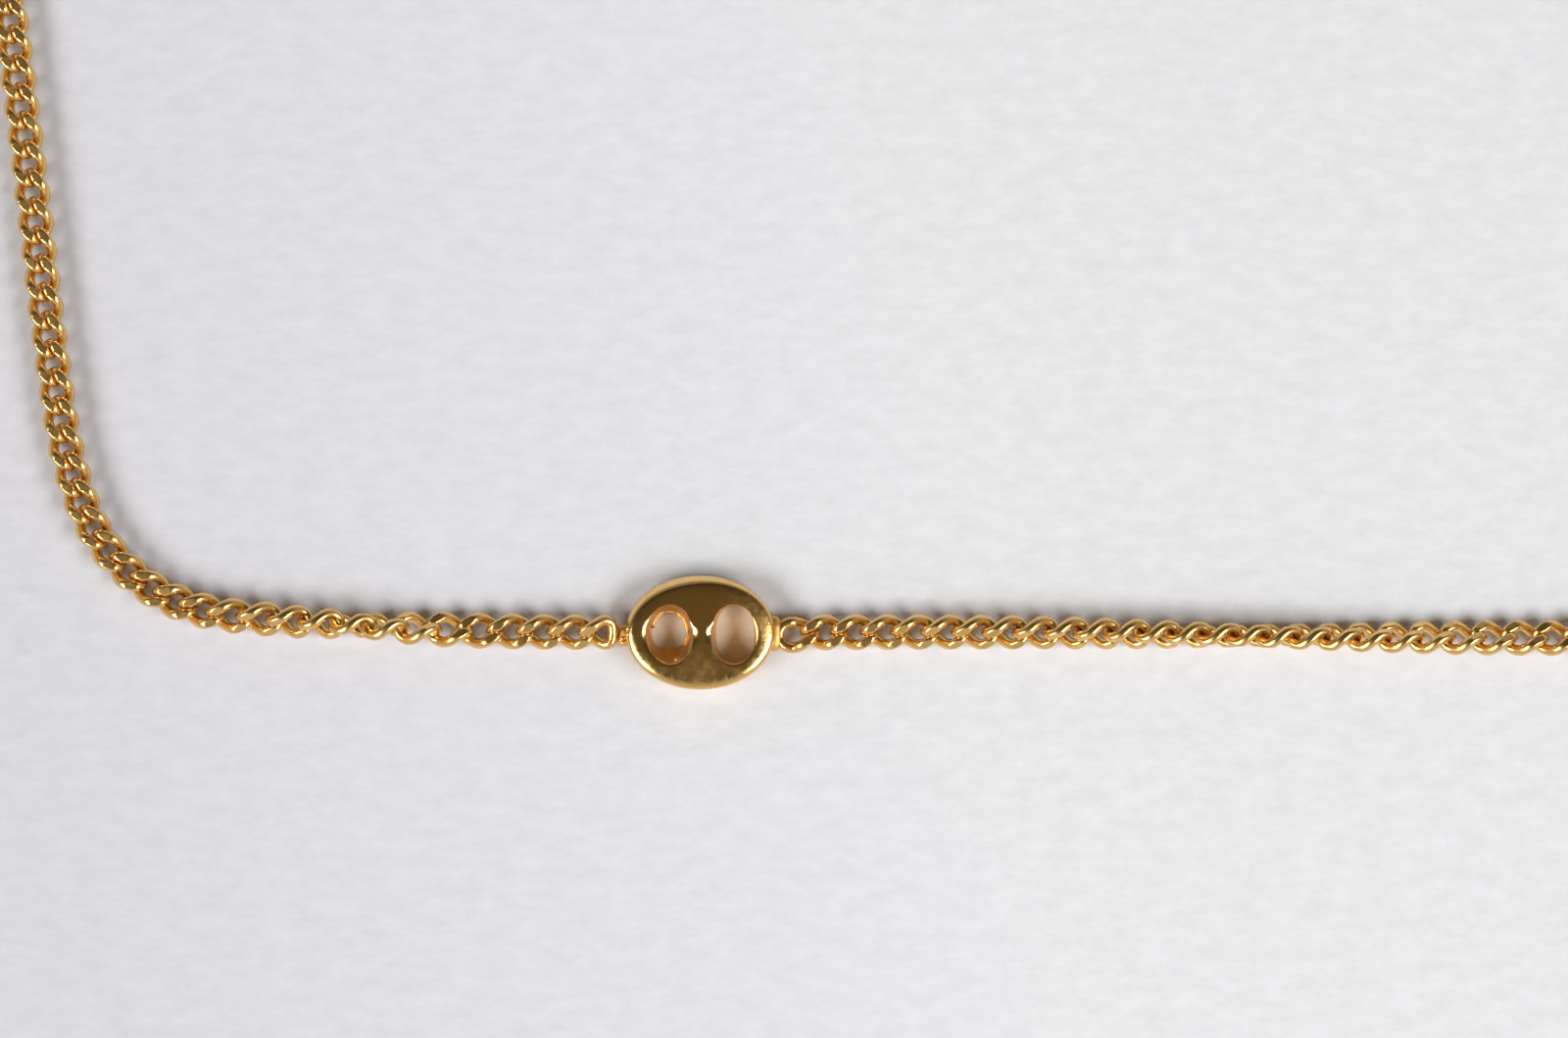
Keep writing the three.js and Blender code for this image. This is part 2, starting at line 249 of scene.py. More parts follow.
def filed_wire(start, size, ring, side):
    """The wire round a link's middle line, filed flat above and below."""
    wire = size["Wire"] + start.maths("ABSOLUTE", side) * (size["Side Wire"] - size["Wire"])
    profile_inputs = {"Resolution": size["Wire Steps"], "Radius": 0.5 * MM}
    profile = start.add("GeometryNodeCurvePrimitiveCircle", {}, profile_inputs)
    sweep_inputs = {"Curve": ring, "Profile Curve": profile, "Scale": wire}
    swept = start.add("GeometryNodeCurveToMesh", {}, sweep_inputs)
    point = start.add("ShaderNodeSeparateXYZ", {}, {"Vector": start.add("GeometryNodeInputPosition")})
    limit = size["Filed"] * MM
    height = start.maths("MAXIMUM", start.maths("MINIMUM", point.also("Z"), limit), limit * -1)
    flat = start.add("ShaderNodeCombineXYZ", {}, {"X": point, "Y": point.also("Y"), "Z": height})
    filed = start.add("GeometryNodeSetPosition", {}, {"Geometry": swept, "Position": flat})
    normal = start.add("GeometryNodeInputNormal")
    facing = start.add("ShaderNodeSeparateXYZ", {}, {"Vector": normal}).also("Z")
    is_round = start.maths("LESS_THAN", start.maths("ABSOLUTE", facing), FACING_UP)
    return start.add("GeometryNodeSetShadeSmooth", {}, {"Geometry": filed, "Shade Smooth": is_round})


# %% [markdown]
# Each point of a bare mesh stands for one link, and its attribute turn says how that link lies. The tree
# puts a link on each point, and makes them real metal at its end.


# %% Links on points
def link_tree():
    """A tree that lays a link on each point of a mesh."""
    tree, start = new_tree("curb_links", LINK_INPUTS)
    size = {label: start.also(label) for label in LINK_INPUTS}
    link = filed_wire(start, size, *bent_ring(start, size))
    points = start.add("GeometryNodeMeshToPoints", {}, {"Mesh": start})
    turn = start.add("GeometryNodeInputNamedAttribute", {"data_type": "FLOAT_VECTOR"}, {"Name": "turn"})
    rotation = start.add("FunctionNodeEulerToRotation", {}, {"Euler": turn})
    laid_inputs = {"Points": points, "Instance": link, "Rotation": rotation}
    laid = start.add("GeometryNodeInstanceOnPoints", {}, laid_inputs)
    real = start.add("GeometryNodeRealizeInstances", {}, {"Geometry": laid})
    finished = start.add("GeometryNodeSetMaterial", {}, {"Geometry": real, "Material": size["Material"]})
    start.add("NodeGroupOutput", {}, {"Geometry": finished})
    return tree


curb_links = link_tree()
print("tree", curb_links.name, "has", len(curb_links.nodes), "nodes")

# %% [markdown]
# A tree works as a modifier. Its inputs are set by socket identifier, and the evaluated object then becomes
# a plain mesh, because instances and live modifiers don't travel with a finished model.


# %% Make links at given places
def bake_tree(item, tree, values):
    """Run a tree on an object with these input values, and keep its result as a plain mesh."""
    modifier = item.modifiers.new(tree.name, "NODES")
    modifier.node_group = tree
    for socket in tree.interface.items_tree:
        if socket.in_out == "INPUT" and socket.name in values:
            modifier[socket.identifier] = values[socket.name]
    bpy.context.view_layer.update()
    evaluated = item.evaluated_get(bpy.context.evaluated_depsgraph_get())
    mesh = bpy.data.meshes.new_from_object(evaluated)
    item.modifiers.clear()
    item.data = mesh
    return item


def make_links(name, places, **values):
    """One object with a curb link at each place: x, y, z in millimetres, heading and roll in degrees."""
    mesh = bpy.data.meshes.new(name)
    mesh.from_pydata([Vector(place[:3]) * MM for place in places], [], [])
    turns = mesh.attributes.new("turn", "FLOAT_VECTOR", "POINT")
    for turn, place in zip(turns.data, places):
        turn.vector = (math.radians(place[4]), 0, math.radians(place[3]))
    item = bpy.data.objects.new(name, mesh)
    bpy.context.scene.collection.objects.link(item)
    return bake_tree(item, curb_links, {"Material": chain_gold, **values})


# %% [markdown]
# Metal that is one body becomes one object. A sample link is measured, because a link that is turned rests
# on whichever of its points is then the lowest.


# %% Join and measure
def join(target, others):
    """Join objects into the first one."""
    with bpy.context.temp_override(active_object=target, selected_editable_objects=[target, *others]):
        bpy.ops.object.join()
    return target


def mesh_points(item):
    """All vertices of an object as rows of millimetres."""
    points = np.empty(len(item.data.vertices) * 3)
    item.data.vertices.foreach_get("co", points)
    return points.reshape(-1, 3) / MM


sample_link = make_links("sample_link", [(0, 0, 0, 0, 0)])
link_points = mesh_points(sample_link)
bpy.data.objects.remove(sample_link)
print("one link measures", np.ptp(link_points, axis=0).round(3), "mm")

# %% [markdown]
# ## The route of the chain
# The tables hold the route as the photo shows it, within half a millimetre of the solid model's chain: one
# row for each stretch, counted out from the puffed link. The chain rolls about its own line as it goes, from
# flat to on edge and over. Past the corner at the left its shadow stands off it, so those rows have a lift.

# %% Route of the shown chain
LEFT_START = {"x": -4.28, "y": 0.0, "heading": 180, "roll": -32}
LEFT_ROUTE = [
    {"links": 2, "pitch": 1.535, "bend": -0.5, "roll": -24},
    {"links": 2, "pitch": 1.535, "bend": -0.5, "roll": -8},
    {"links": 2, "pitch": 1.575, "bend": -1, "roll": 38},
    {"links": 2, "pitch": 1.645, "bend": -1, "roll": 88},
    {"links": 2, "pitch": 1.645, "bend": -0.7, "roll": 127},
    {"links": 3, "pitch": 1.535, "bend": -2.6, "roll": 163, "lift": 0.0},
    {"links": 2, "pitch": 1.43, "bend": -16.8, "roll": 172, "lift": 0.05},
    {"links": 5, "pitch": 1.437, "bend": -47.6, "roll": 175, "lift": 0.2},
    {"links": 3, "pitch": 1.434, "bend": -10.7, "roll": 175, "lift": 0.24},
    {"links": 5, "pitch": 1.451, "bend": -2.1, "roll": 174, "lift": 0.24},
    {"links": 10, "pitch": 1.472, "bend": 1, "roll": 174, "lift": 0.24},
]
RIGHT_START = {"x": 5.55, "y": 0.0, "heading": 0.4, "roll": 3}
RIGHT_ROUTE = [
    {"links": 5, "pitch": 1.535, "bend": -0.4, "roll": 34},
    {"links": 5, "pitch": 1.552, "bend": -1, "roll": 62},
    {"links": 5, "pitch": 1.545, "bend": 0.2, "roll": 92},
    {"links": 4, "pitch": 1.547, "bend": 0.2, "roll": 116},
    {"links": 7, "pitch": 1.575, "bend": 0.8, "roll": 168},
]
print("stretches to the left and to the right:", len(LEFT_ROUTE), len(RIGHT_ROUTE))

# %% [markdown]
# Links are laid one after another. Each turns by its share of the stretch's bend and roll, and lies over one
# pitch. It rests on the table at whatever roll it has, so its height is worked out and not written in a row.


# %% Lay links along a route
def resting_height(roll):
    """Height of a link's middle when its lowest point touches the table."""
    angle = math.radians(roll)
    depths = -(link_points[:, 1] * math.sin(angle) + link_points[:, 2] * math.cos(angle))
    return float(depths.max())


def lay_links(start, route):
    """Places of the links along a route, and where the route ends: x, y and heading."""
    x, y, heading, roll = start["x"], start["y"], start["heading"], start["roll"]
    lift = 0.0
    places = []
    for stretch in route:
        roll_step = (stretch["roll"] - roll) / stretch["links"]
        lift_step = (stretch.get("lift", 0.0) - lift) / stretch["links"]
        for _ in range(stretch["links"]):
            heading += stretch["bend"] / stretch["links"]
            step_x = stretch["pitch"] * math.cos(math.radians(heading))
            step_y = stretch["pitch"] * math.sin(math.radians(heading))
            turn = roll + roll_step / 2
            height = resting_height(turn) + lift + lift_step / 2
            places.append((x + step_x / 2, y + step_y / 2, height, heading, turn))
            x += step_x
            y += step_y
            roll += roll_step
            lift += lift_step
    return places, (x, y, heading)


left_places, left_end = lay_links(LEFT_START, LEFT_ROUTE)
right_places, right_end = lay_links(RIGHT_START, RIGHT_ROUTE)
print(len(left_places), "links to the left,", len(right_places), "to the right")

# %% [markdown]
# The link that hangs in the bail differs from the rest: its near end is short, square and hardly twisted.

# %% Links of the shown chain
FIRST_LINK = {"Back": 0.6, "Ahead": 0.94, "Fullness": 3.0, "Back Twist": 20.0}

left_shown = make_links("left_chain_shown", left_places[1:])
first_link = make_links("first_link", left_places[:1], **FIRST_LINK)
join(left_shown, [first_link])
right_shown = make_links("right_chain_shown", right_places)
for chain, node in ((left_shown, "chain_left_front"), (right_shown, "chain_right_front")):
    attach(chain, "root")
    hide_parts(node)
    print(chain.name, len(chain.data.polygons), "faces")

# %% [markdown]
# ## The rest of the loop
# The photo doesn't show how the loop closes, so the chain takes a plain way round: a rectangle with round
# corners, as in the solid model, to a clasp opposite the puffed link. These links have far fewer faces.

# %% Route of the rest of the loop
LOOP_TOP = 90
LOOP_CORNER = 20


def loop_corners(right_side):
    """Corners of the hidden way round, from the end of the left chain to the end of the right chain."""
    x, y, heading = left_end
    top_left = (x + (LOOP_TOP - y) / math.tan(math.radians(heading)), LOOP_TOP)
    slope = math.tan(math.radians(right_end[2]))
    low_right = (right_side, right_end[1] + (right_side - right_end[0]) * slope)
    corners = [left_end[:2], top_left, (right_side, LOOP_TOP), low_right, right_end[:2]]
    return [Vector(corner) for corner in corners]


def round_route(corners):
    """Straight and round stretches: start, heading in radians, length, and turn for each millimetre."""
    stretches = []
    at = corners[0]
    for before, corner, after in zip(corners, corners[1:], corners[2:]):
        way_in = (corner - before).normalized()
        way_out = (after - corner).normalized()
        turn = way_out.angle_signed(way_in)
        cut = LOOP_CORNER * math.tan(abs(turn) / 2)
        start = corner - way_in * cut
        heading = math.atan2(way_in.y, way_in.x)
        stretches.append((at, heading, (start - at).length, 0.0))
        stretches.append((start, heading, LOOP_CORNER * abs(turn), turn / (LOOP_CORNER * abs(turn))))
        at = corner + way_out * cut
    last = corners[-1] - at
    stretches.append((at, math.atan2(last.y, last.x), last.length, 0.0))
    return stretches


# %% [markdown]
# The length of the whole loop is known, so its right side is set last. A trial side shows how much length is
# missing. Moving the side out by half of that adds it above and again below.

# %% Length of the loop, and places along it
NECKLACE_LENGTH = 450
TRIAL_SIDE = 100


def route_length(stretches):
    return sum(length for _, _, length, _ in stretches)


def route_point(stretches, distance):
    """Place and heading at a distance along a route."""
    for stretch in stretches:
        start, heading, length, turn = stretch
        if distance <= length or stretch is stretches[-1]:
            break
        distance -= length
    if turn == 0.0:
        return start + Vector((math.cos(heading), math.sin(heading))) * distance, heading
    radius = 1 / turn
    ahead = heading + turn * distance
    middle = start + Vector((-math.sin(heading), math.cos(heading))) * radius
    return middle + Vector((math.sin(ahead), -math.cos(ahead))) * radius, ahead


left_length = sum(row["links"] * row["pitch"] for row in LEFT_ROUTE) - LEFT_START["x"]
right_length = sum(row["links"] * row["pitch"] for row in RIGHT_ROUTE) + RIGHT_START["x"]
missing = NECKLACE_LENGTH - left_length - right_length - route_length(round_route(loop_corners(TRIAL_SIDE)))
loop = round_route(loop_corners(TRIAL_SIDE + missing / 2))
clasp_at = NECKLACE_LENGTH / 2 - left_length
print("hidden stretch", round(route_length(loop), 2), "mm, clasp at", round(clasp_at, 2))

# %% [markdown]
# The links go on from the end of the left chain, where they still have its tilt and its lift, and soon lie
# flat. They are counted so that the last one on each side hangs in a loop of the clasp.

# %% Links of the rest of the loop
CLASP_REACH = 3.69
REST_PITCH = 1.5
REST_STEPS = {"Link Steps": 12, "Wire Steps": 6}
SETTLE = 20
FLAT_ROLL = 180


def rest_places(first, last):
    """Links between two distances along the hidden way round, as close to the usual spacing as fits."""
    count = round((last - first) / REST_PITCH)
    places = []
    for index in range(count):
        distance = first + (last - first) * (index + 0.5) / count
        point, heading = route_point(loop, distance)
        unsettled = max(1 - distance / SETTLE, 0)
        roll = FLAT_ROLL + (LEFT_ROUTE[-1]["roll"] - FLAT_ROLL) * unsettled
        height = resting_height(roll) + LEFT_ROUTE[-1]["lift"] * unsettled
        places.append((point.x, point.y, height, math.degrees(heading), roll))
    return places


bite = LINK_INPUTS["Back"][1] - REST_PITCH / 2
left_places_rest = rest_places(0, clasp_at - CLASP_REACH - bite)
right_places_rest = rest_places(clasp_at + CLASP_REACH + bite, route_length(loop))
left_rest = make_links("left_chain_rest", left_places_rest, **REST_STEPS)
right_rest = make_links("right_chain_rest", right_places_rest, **REST_STEPS)
for chain, node in ((left_rest, "chain_left_back"), (right_rest, "chain_right_back")):
    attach(chain, "root")
    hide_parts(node)
    print(chain.name, len(chain.data.polygons), "faces")

# %% [markdown]
# ## The puffed link
# This is a hollow shell pressed from sheet: a cushion with two oval holes and a narrow bridge. Its height
# follows a rule, a low dome with every edge rounded, so a grid of sections from the holes to the rim is laid
# over that rule. A subdivided box would lose the crisp line of the rim and the true ovals of the holes.

# %% Sizes of the puffed link
STATION_LENGTH = 7.6
STATION_WIDTH = 5.8
RIM_HEIGHT = 1.5
SWELLS = [{"height": 0.2, "power": 2}, {"height": 0.17, "power": 9}]
RIM_ROUND = {"least": 0.2, "more": 0.42, "towards": 115, "power": 1.5}
BRIDGE_X = 0.1
HOLE_OFFSET = 1.62
HOLE_Y = -0.07
HOLE_FRONT = (2.2, 2.94)
LIP_ENDS = {"above": 0.05, "below": 0.24}
BRIDGE_LIP = {"round": 1.0, "fade": 15, "cut": 0.375}
FAR_LIPS = {-1: {"round": 0.75, "fade": 3, "cut": 0.12}, 1: {"round": 0.35, "fade": 3, "cut": 0.08}}
print("the puffed link is", STATION_LENGTH, "by", STATION_WIDTH, "mm")

# %% [markdown]
# The height above the table is a low dome, less what each rounded edge takes away. The rim is rounder at the
# upper left. The lips of the holes are crisp above, less so below, and round at the bridge and the far side.

# %% Height of the puffed link
TINY = 1e-9


def inside_ellipse(x, y, length, width):
    """How far a point is inside an ellipse, negative outside it."""
    level = 1 - (2 * x / length) ** 2 - (2 * y / width) ** 2
    return level / (8 * math.hypot(x / length**2, y / width**2) + TINY)


def edge_drop(distance, radius):
    """How far a rounded edge lies under the surface at a distance from it."""
    short = max(radius - distance, 0)
    return radius - math.sqrt(max(radius**2 - short**2, 0))


def rim_round(x, y):
    """Radius of the rim, which is rounder at the upper left."""
    direction = math.atan2(y, x) - math.radians(RIM_ROUND["towards"])
    return RIM_ROUND["least"] + RIM_ROUND["more"] * max(math.cos(direction), 0) ** RIM_ROUND["power"]


def lip_drop(x, y, side):
    """Drop at a hole's edge, with a small radius above and below, and a larger one at both sides."""
    lip = BRIDGE_LIP if x * side < 0 else FAR_LIPS[side]
    level = (x / HOLE_FRONT[0]) ** 2 + (y / HOLE_FRONT[1]) ** 2 + TINY
    sideways = ((x / HOLE_FRONT[0]) ** 2 / level) ** lip["fade"]
    ends = LIP_ENDS["below"] if y < 0 else LIP_ENDS["above"]
    radius = ends + (lip["round"] - ends) * sideways
    return edge_drop(lip["cut"] * sideways - inside_ellipse(x, y, *HOLE_FRONT), radius)


def station_top(x, y):
    """Height of the shell's top above the table."""
    out = math.hypot(2 * x / STATION_LENGTH, 2 * y / STATION_WIDTH)
    height = RIM_HEIGHT + sum(swell["height"] * (1 - out ** swell["power"]) for swell in SWELLS)
    height -= edge_drop(inside_ellipse(x, y, STATION_LENGTH, STATION_WIDTH), rim_round(x, y))
    for side in (-1, 1):
        height -= lip_drop(x - BRIDGE_X - side * HOLE_OFFSET, y - HOLE_Y, side)
    return height


print("the bridge is", round(station_top(BRIDGE_X, HOLE_Y), 3), "mm high at its middle")

# %% [markdown]
# Each half of the shell is a fan of sections round its hole. A section starts at the back of the hole. It
# goes up the wall to the front, over the swell to the outline, and round the rim to the back. The back of
# each hole is smaller than its front, because the press drew the sheet down.

# %% Sections of the shell
HOLE_FULLNESS = 2.4
HOLE_BACK = {
    -1: {"x": -0.06, "y": 0.12, "size": (1.78, 1.78)},
    1: {"x": 0.07, "y": 0.0, "size": (1.96, 2.84)},
}
BACK_ROUND = 0.3
WALL_LEAN = 0.7
RIM_STEPS = 96
BRIDGE_STEPS = 48
SWELL_STEPS = 40
WALL_STEPS = 6


def half_edge(side):
    """Edge of one half, anticlockwise: its part of the outline, then the line of the bridge."""
    corner = math.acos(2 * BRIDGE_X / STATION_LENGTH)
    first = -corner if side > 0 else corner
    span = 2 * corner if side > 0 else 2 * math.pi - 2 * corner
    edge = []
    for i in range(RIM_STEPS + 1):
        angle = first + span * i / RIM_STEPS
        rim_x = STATION_LENGTH / 2 * math.cos(angle)
        rim_y = STATION_WIDTH / 2 * math.sin(angle)
        edge.append((rim_x, rim_y, i < RIM_STEPS))
    bridge_end = STATION_WIDTH / 2 * math.sin(corner) * side
    for i in range(1, BRIDGE_STEPS):
        edge.append((BRIDGE_X, bridge_end * math.cos(math.pi * i / BRIDGE_STEPS), False))
    return edge


def on_oval(x, y, middle_x, middle_y, size):
    """Where the line from the middle of a hole to a point crosses the hole's edge, a full oval."""
    parts = (abs(2 * (x - middle_x) / size[0]), abs(2 * (y - middle_y) / size[1]))
    reach = sum(part**HOLE_FULLNESS for part in parts) ** (-1 / HOLE_FULLNESS)
    return Vector((middle_x + reach * (x - middle_x), middle_y + reach * (y - middle_y)))


def shell_section(x, y, side):
    """One section, from the back of the hole over the swell to the back of the rim."""
    hole_x = BRIDGE_X + side * HOLE_OFFSET
    back = HOLE_BACK[side]
    mouth = on_oval(x, y, hole_x, HOLE_Y, HOLE_FRONT)
    inner = on_oval(mouth.x, mouth.y, hole_x + back["x"], HOLE_Y + back["y"], back["size"])
    mouth_height = station_top(mouth.x, mouth.y)
    section = []
    for i in range(WALL_STEPS):
        rise = i / WALL_STEPS
        point = inner.lerp(mouth, rise**WALL_LEAN)
        section.append((point.x, point.y, mouth_height * rise))
    for i in range(SWELL_STEPS + 1):
        step = 0.5 - 0.5 * math.cos(math.pi * i / SWELL_STEPS)
        point = mouth.lerp(Vector((x, y)), step)
        section.append((point.x, point.y, station_top(point.x, point.y)))
    for i in range(WALL_STEPS):
        angle = math.pi / 2 * i / (WALL_STEPS - 1)
        inset = BACK_ROUND * (1 - math.cos(angle))
        back_x = BRIDGE_X + (x - BRIDGE_X) * (1 - 2 * inset / STATION_LENGTH)
        back_y = y * (1 - 2 * inset / STATION_WIDTH)
        section.append((back_x, back_y, BACK_ROUND * (1 - math.sin(angle))))
    return section


# %% [markdown]
# Polishing doesn't reach the walls of the holes, so they are raw, and their redder colour is also painted
# reflection of warm light bounced between the walls. The polish on top is scuffed in a few soft patches:
# beside the right hole, below the bridge, and next to the soldered ring.

# %% Points and faces of the shell
SCUFFS = [
    {"x": 2.3, "y": 1.4, "reach": 1.1, "raw": 0.75},
    {"x": 0.1, "y": -2.1, "reach": 1.4, "raw": 0.6},
    {"x": 3.2, "y": 0.2, "reach": 0.7, "raw": 0.8},
]


def scuffed(x, y):
    """How worn the polish is: a few soft patches."""
    worn = 0.0
    for patch in SCUFFS:
        away = math.dist((x, y), (patch["x"], patch["y"]))
        worn += patch["raw"] * math.exp(-((away / patch["reach"]) ** 2))
    return worn


def puffed_shell():
    """Points and faces of the shell, and how raw it is at each point, with painted reflection on the hole
    walls.
    """
    points = []
    faces = []
    raw = []
    for side in (-1, 1):
        edge = half_edge(side)
        sections = [shell_section(x, y, side) for x, y, _ in edge]
        size = len(sections[0])
        wall = range(size - WALL_STEPS - 1, size - 1)
        first = len(points)
        points += [Vector(point) * MM for section in sections for point in section]
        for section in sections:
            # The walls are fully raw: rough unpolished metal, with painted reflection in their redder
            # colour.
            raw += [1.0] * WALL_STEPS
            raw += [scuffed(x, y) for x, y, _ in section[WALL_STEPS:]]
        for i, (_, _, on_rim) in enumerate(edge):
            here = first + i * size
            after = first + (i + 1) % len(edge) * size
            for j in range(size):
                if j in wall and not on_rim:
                    continue
                k = (j + 1) % size
                faces.append((here + j, here + k, after + k, after + j))
    return points, faces, raw


# %% [markdown]
# The two halves share the line of the bridge, so their double points are merged. Edges stay sharp only where
# the surface turns by more than a limit.

# %% Mesh of the shell
MERGE = 0.0005
SHARP = 35


def mesh_object(name, points, faces, material, raw=None):
    """An object from points in metres and faces, with its normals outward."""
    mesh = bpy.data.meshes.new(name)
    mesh.from_pydata(points, [], faces)
    if raw:
        mesh.attributes.new("raw", "FLOAT", "POINT").data.foreach_set("value", raw)
    shape = bmesh.new()
    shape.from_mesh(mesh)
    bmesh.ops.remove_doubles(shape, verts=shape.verts, dist=MERGE * MM)
    loose = [vertex for vertex in shape.verts if not vertex.link_faces]
    bmesh.ops.delete(shape, geom=loose, context="VERTS")
    bmesh.ops.recalc_face_normals(shape, faces=shape.faces)
    shape.to_mesh(mesh)
    shape.free()
    mesh.shade_smooth()
    mesh.set_sharp_from_angle(angle=math.radians(SHARP))
    mesh.materials.append(material)
    item = bpy.data.objects.new(name, mesh)
    bpy.context.scene.collection.objects.link(item)
    return item


shell_points, shell_faces, shell_raw_and_painted_reflection = puffed_shell()
station = mesh_object("puffed_link", shell_points, shell_faces, station_gold, shell_raw_and_painted_reflection)
print(station.name, len(station.data.polygons), "faces")

# %% [markdown]
# ## What is soldered to its ends
# At the right a chain link is soldered on, and at the left a small bail of thinner wire holds the first
# link. The soldered link is one more run of the links tree, flat at the soldered end.

# %% Soldered ring
RING = {"x": 4.75, "y": -0.12, "heading": 8, "raw": 0.5}
RING_SHAPE = {"Back": 0.7, "Ahead": 1.14, "Back Twist": 0.0}


def set_raw(mesh, raw):
    """How raw a whole piece of metal is, from polished at zero."""
    mesh.attributes.new("raw", "FLOAT", "POINT").data.foreach_set("value", [raw] * len(mesh.vertices))


ring_place = (RING["x"], RING["y"], resting_height(0), RING["heading"], 0)
ring = make_links("soldered_ring", [ring_place], Material=station_gold, **RING_SHAPE)
set_raw(ring.data, RING["raw"])
print(ring.name, len(ring.data.polygons), "faces")

# %% [markdown]
# The bail is one bent wire, and both its ends run into the shell. A curve with a round bevel makes such a
# wire from a few points.

# %% Bail
WIRE_ROUNDNESS = 3
BAIL = {"wire": 0.2, "tip": -4.72, "root": -3.4, "y": -0.15, "half": 0.26, "height": 0.12}
BAIL_STEPS = 16


def wire_object(name, points, wire, material, raw=0.0):
    """A round wire along points in millimetres, with closed ends."""
    curve = bpy.data.curves.new(name, "CURVE")
    curve.dimensions = "3D"
    curve.bevel_depth = wire / 2 * MM
    curve.bevel_resolution = WIRE_ROUNDNESS
    curve.use_fill_caps = True
    spline = curve.splines.new("POLY")
    spline.points.add(len(points) - 1)
    for target, point in zip(spline.points, points):
        target.co = (*(Vector(point) * MM), 1)
    item = bpy.data.objects.new(name, curve)
    bpy.context.scene.collection.objects.link(item)
    bpy.context.view_layer.update()
    evaluated = item.evaluated_get(bpy.context.evaluated_depsgraph_get())
    mesh = bpy.data.meshes.new_from_object(evaluated)
    bpy.data.objects.remove(item)
    mesh.shade_smooth()
    set_raw(mesh, raw)
    mesh.materials.clear()
    mesh.materials.append(material)
    made = bpy.data.objects.new(name, mesh)
    bpy.context.scene.collection.objects.link(made)
    return made


def bail_points():
    """The bail's middle line: out along one side, round the tip, and back along the other."""
    bend = BAIL["tip"] + BAIL["half"]
    points = [(BAIL["root"], BAIL["y"] + BAIL["half"], BAIL["height"])]
    for i in range(BAIL_STEPS + 1):
        angle = math.pi / 2 + math.pi * i / BAIL_STEPS
        x = bend + BAIL["half"] * math.cos(angle)
        y = BAIL["y"] + BAIL["half"] * math.sin(angle)
        points.append((x, y, BAIL["height"]))
    points.append((BAIL["root"], BAIL["y"] - BAIL["half"], BAIL["height"]))
    return points


bail = wire_object("bail", bail_points(), BAIL["wire"], station_gold)
print(bail.name, len(bail.data.polygons), "faces")

# %% [markdown]
# Solder ran into the corners where the ring and the bail meet the shell. It set as a squarish web at each
# end, with a few small beads beside it.

# %% Solder
BALL_FINENESS = 3
WEBS = [
    {"x": 3.68, "y": -0.05, "z": 0.5, "size": (1.0, 1.8, 0.85)},
    {"x": -3.8, "y": -0.15, "z": 0.4, "size": (0.85, 1.1, 0.65)},
]
WEB_FULLNESS = 3
WEB_RAW = 1.6
BEADS = [
    {"x": -3.93, "y": -0.3, "z": 0.7},
    {"x": -3.88, "y": -0.5, "z": 0.7},
    {"x": -3.6, "y": 0.2, "z": 1.48},
    {"x": -3.6, "y": -0.08, "z": 1.48},
    {"x": 3.42, "y": 0.5, "z": 1.54},
    {"x": 3.47, "y": 0.24, "z": 1.52},
    {"x": 3.49, "y": 0.0, "z": 1.52},
]
BEAD_SIZE = (0.34, 0.24, 0.2)
BEAD_RAW = 1.2


def ball(name, row, size, raw, fullness=2):
    """A ball stretched to a size in millimetres. More fullness makes it squarer, and two keeps it round."""
    middle = (row["x"], row["y"], row["z"])
    shape = bmesh.new()
    bmesh.ops.create_icosphere(shape, subdivisions=BALL_FINENESS, radius=1)
    for vertex in shape.verts:
        reach = sum(abs(c) ** fullness for c in vertex.co) ** (-1 / fullness)
        vertex.co = Vector([m + s / 2 * c * reach for m, s, c in zip(middle, size, vertex.co)]) * MM
    mesh = bpy.data.meshes.new(name)
    shape.to_mesh(mesh)
    shape.free()
    set_raw(mesh, raw)
    mesh.shade_smooth()
    mesh.materials.append(station_gold)
    item = bpy.data.objects.new(name, mesh)
    bpy.context.scene.collection.objects.link(item)
    return item


webs = [ball("web", web, web["size"], WEB_RAW, WEB_FULLNESS) for web in WEBS]
beads = [ball("bead", bead, BEAD_SIZE, BEAD_RAW) for bead in BEADS]
print(len(webs), "webs and", len(beads), "beads of solder")

# %% [markdown]
# The sheet seems to have torn when the left hole was pressed through. A ragged edge is left round the upper
# part of the hole, and a lump at its lower right.

# %% Torn edge and lump
BURR = {"x": -1.55, "y": -0.02, "z": 1.25, "half": (0.93, 1.1), "from": -35, "to": 165}
BURR_WIRE = 0.2
BURR_RAGGED = 0.045
BURR_STEPS = 24
BURR_SEED = 4
BURR_RAW = 1.0
LUMP = {"x": -1.12, "y": -1.38, "z": 1.15, "size": (0.5, 0.3, 0.4), "raw": 0.8}


def burr_points():
    """The middle line of the torn edge, a little in or out and up or down at each step."""
    chance = random.Random(BURR_SEED)
    points = []
    for i in range(BURR_STEPS + 1):
        angle = math.radians(BURR["from"] + (BURR["to"] - BURR["from"]) * i / BURR_STEPS)
        reach = 1 + chance.uniform(-BURR_RAGGED, BURR_RAGGED)
        x = BURR["x"] + BURR["half"][0] * reach * math.cos(angle)
        y = BURR["y"] + BURR["half"][1] * reach * math.sin(angle)
        points.append((x, y, BURR["z"] + chance.uniform(-BURR_RAGGED, BURR_RAGGED)))
    return points


burr = wire_object("burr", burr_points(), BURR_WIRE, station_gold, BURR_RAW)
lump = ball("lump", LUMP, LUMP["size"], LUMP["raw"])
print(burr.name, len(burr.data.polygons), "faces")

# %% [markdown]
# All this metal is soldered or pressed together, so it is one piece.

# %% Puffed link in one piece
join(station, [ring, bail, burr, lump, *webs, *beads])
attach(station, "root")
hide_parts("station")
print(station.name, "with its ring and bail:", len(station.data.polygons), "faces")

# %% [markdown]
# ## The clasp
# The clasp isn't shown, so it is a plain barrel with a wire loop at each end. Its outline is turned round an
# axis, as it would be on a lathe.

